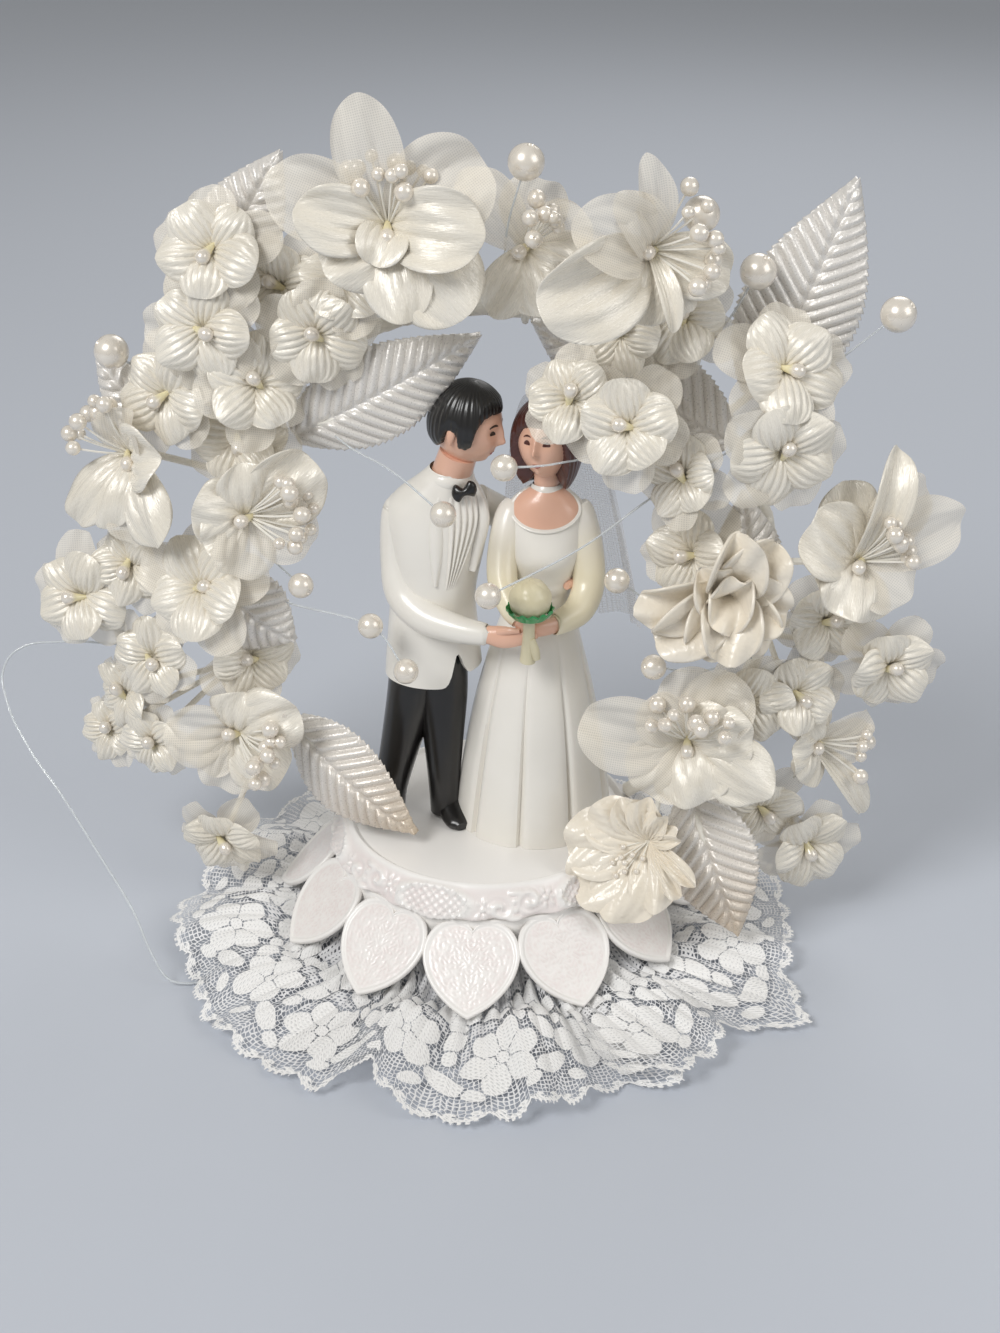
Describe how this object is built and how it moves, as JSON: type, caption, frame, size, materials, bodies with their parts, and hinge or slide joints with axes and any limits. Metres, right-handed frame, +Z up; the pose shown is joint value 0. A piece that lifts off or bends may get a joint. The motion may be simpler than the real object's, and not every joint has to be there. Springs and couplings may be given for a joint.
{
  "type": "wedding cake topper",
  "caption": "Cake topper with a painted couple under a hoop of satin flowers and pearls, on a round base with a skirt of hearts and a lace ruffle.",
  "frame": {"origin": "centre of the underside of the bottom plate", "axes": "+Z up, the couple faces -Y, +X to the bride's side"},
  "size_m": [0.2296, 0.1578, 0.2083],
  "materials": {
    "white_plastic": "glossy moulded white with a faint pink sheen",
    "painted_plastic": "glossy hand-painted moulding",
    "lace": "machine lace on a net ground",
    "satin": "satin and organza, heat-pressed",
    "cream_satin": "thick cream satin",
    "tulle": "sheer net",
    "pearl": "pearl lacquer",
    "tape": "white wrapping tape",
    "bouquet": "cream blossoms with a green collar",
    "nylon": "clear nylon"
  },
  "bodies": {
    "topper": {"arch_hoop": "tape", "bottom_plate": "white_plastic", "base_pedestal": "white_plastic", "heart_collar": "white_plastic", "lace_ruffle": "lace", "groom_figure": "painted_plastic", "bride_figure": "painted_plastic", "bouquet": "bouquet", "bride_veil": "tulle", "spray_top_left": "satin", "spray_left_upper": "satin", "spray_inner_upper": "satin", "spray_left": "satin", "spray_far_left": "satin", "spray_lower_left": "satin", "blossom_low_left": "satin", "spray_over_bride": "satin", "spray_top_right": "satin", "spray_right_upper": "satin", "blossom_right_inner": "satin", "spray_right": "satin", "spray_right_lower": "satin", "blossom_right_hip": "satin", "orchid_top_left": "satin", "orchid_top_right": "satin", "orchid_left": "satin", "orchid_inner_left": "satin", "orchid_lower_left": "satin", "orchid_right": "satin", "orchid_lower_right": "satin", "orchid_far_right": "satin", "satin_rose": "cream_satin", "velvet_blossom": "cream_satin", "orchid_top_middle": "satin", "leaf_inner_left": "satin", "leaf_right_top": "satin", "leaf_top_left": "satin", "leaf_right_inner": "satin", "leaf_left_middle": "satin", "leaf_lower_left": "satin", "leaf_lower_right": "satin", "leaf_right_middle": "satin", "leaf_left_upper": "satin", "nylon_strand": "nylon"},
    "pearl_top": {"pearl_top": "pearl"},
    "pearl_top_right": {"pearl_top_right": "pearl"},
    "pearl_right_upper": {"pearl_right_upper": "pearl"},
    "pearl_right": {"pearl_right": "pearl"},
    "pearl_left": {"pearl_left": "pearl"},
    "pearl_before_bride": {"pearl_before_bride": "pearl"},
    "pearl_before_groom": {"pearl_before_groom": "pearl"},
    "pearl_at_bouquet": {"pearl_at_bouquet": "pearl"},
    "pearl_bride_side": {"pearl_bride_side": "pearl"},
    "pearl_skirt_side": {"pearl_skirt_side": "pearl"},
    "pearl_pair_groom_side": {"pearl_pair_groom_side": "pearl"},
    "pearl_left_inner": {"pearl_left_inner": "pearl"}
  },
  "joints": [
    {"name": "pearl_top_spring", "type": "hinge", "parent": "topper", "child": "pearl_top", "pos_m": [0.00356, 0.01, 0.15591], "axis": [0, 1, 0], "range_deg": [-6, 6], "stiffness_Nm_per_rad": 0.006},
    {"name": "pearl_top_right_spring", "type": "hinge", "parent": "topper", "child": "pearl_top_right", "pos_m": [0.03192, 0.01, 0.14804], "axis": [0, 1, 0], "range_deg": [-6, 6], "stiffness_Nm_per_rad": 0.006},
    {"name": "pearl_right_upper_spring", "type": "hinge", "parent": "topper", "child": "pearl_right_upper", "pos_m": [0.04186, 0.01, 0.14158], "axis": [0, 1, 0], "range_deg": [-6, 6], "stiffness_Nm_per_rad": 0.006},
    {"name": "pearl_right_spring", "type": "hinge", "parent": "topper", "child": "pearl_right", "pos_m": [0.05431, 0.01, 0.12892], "axis": [0, 1, 0], "range_deg": [-6, 6], "stiffness_Nm_per_rad": 0.006},
    {"name": "pearl_left_spring", "type": "hinge", "parent": "topper", "child": "pearl_left", "pos_m": [-0.05767, 0.01, 0.12403], "axis": [0, 1, 0], "range_deg": [-6, 6], "stiffness_Nm_per_rad": 0.006},
    {"name": "pearl_before_bride_spring", "type": "hinge", "parent": "topper", "child": "pearl_before_bride", "pos_m": [0.04724, 0.01, 0.13692], "axis": [0, 1, 0], "range_deg": [-6, 6], "stiffness_Nm_per_rad": 0.006},
    {"name": "pearl_before_groom_spring", "type": "hinge", "parent": "topper", "child": "pearl_before_groom", "pos_m": [-0.04892, 0.01, 0.13524], "axis": [0, 1, 0], "range_deg": [-6, 6], "stiffness_Nm_per_rad": 0.006},
    {"name": "pearl_at_bouquet_spring", "type": "hinge", "parent": "topper", "child": "pearl_at_bouquet", "pos_m": [0.05767, 0.01, 0.12403], "axis": [0, 1, 0], "range_deg": [-6, 6], "stiffness_Nm_per_rad": 0.006},
    {"name": "pearl_bride_side_spring", "type": "hinge", "parent": "topper", "child": "pearl_bride_side", "pos_m": [0.06796, 0.01, 0.08563], "axis": [0, 1, 0], "range_deg": [-6, 6], "stiffness_Nm_per_rad": 0.006},
    {"name": "pearl_skirt_side_spring", "type": "hinge", "parent": "topper", "child": "pearl_skirt_side", "pos_m": [0.06537, 0.01, 0.06926], "axis": [0, 1, 0], "range_deg": [-6, 6], "stiffness_Nm_per_rad": 0.006},
    {"name": "pearl_pair_groom_side_spring", "type": "hinge", "parent": "topper", "child": "pearl_pair_groom_side", "pos_m": [-0.06796, 0.01, 0.08563], "axis": [0, 1, 0], "range_deg": [-6, 6], "stiffness_Nm_per_rad": 0.006},
    {"name": "pearl_left_inner_spring", "type": "hinge", "parent": "topper", "child": "pearl_left_inner", "pos_m": [-0.06651, 0.01, 0.10214], "axis": [0, 1, 0], "range_deg": [-6, 6], "stiffness_Nm_per_rad": 0.006}
  ]
}
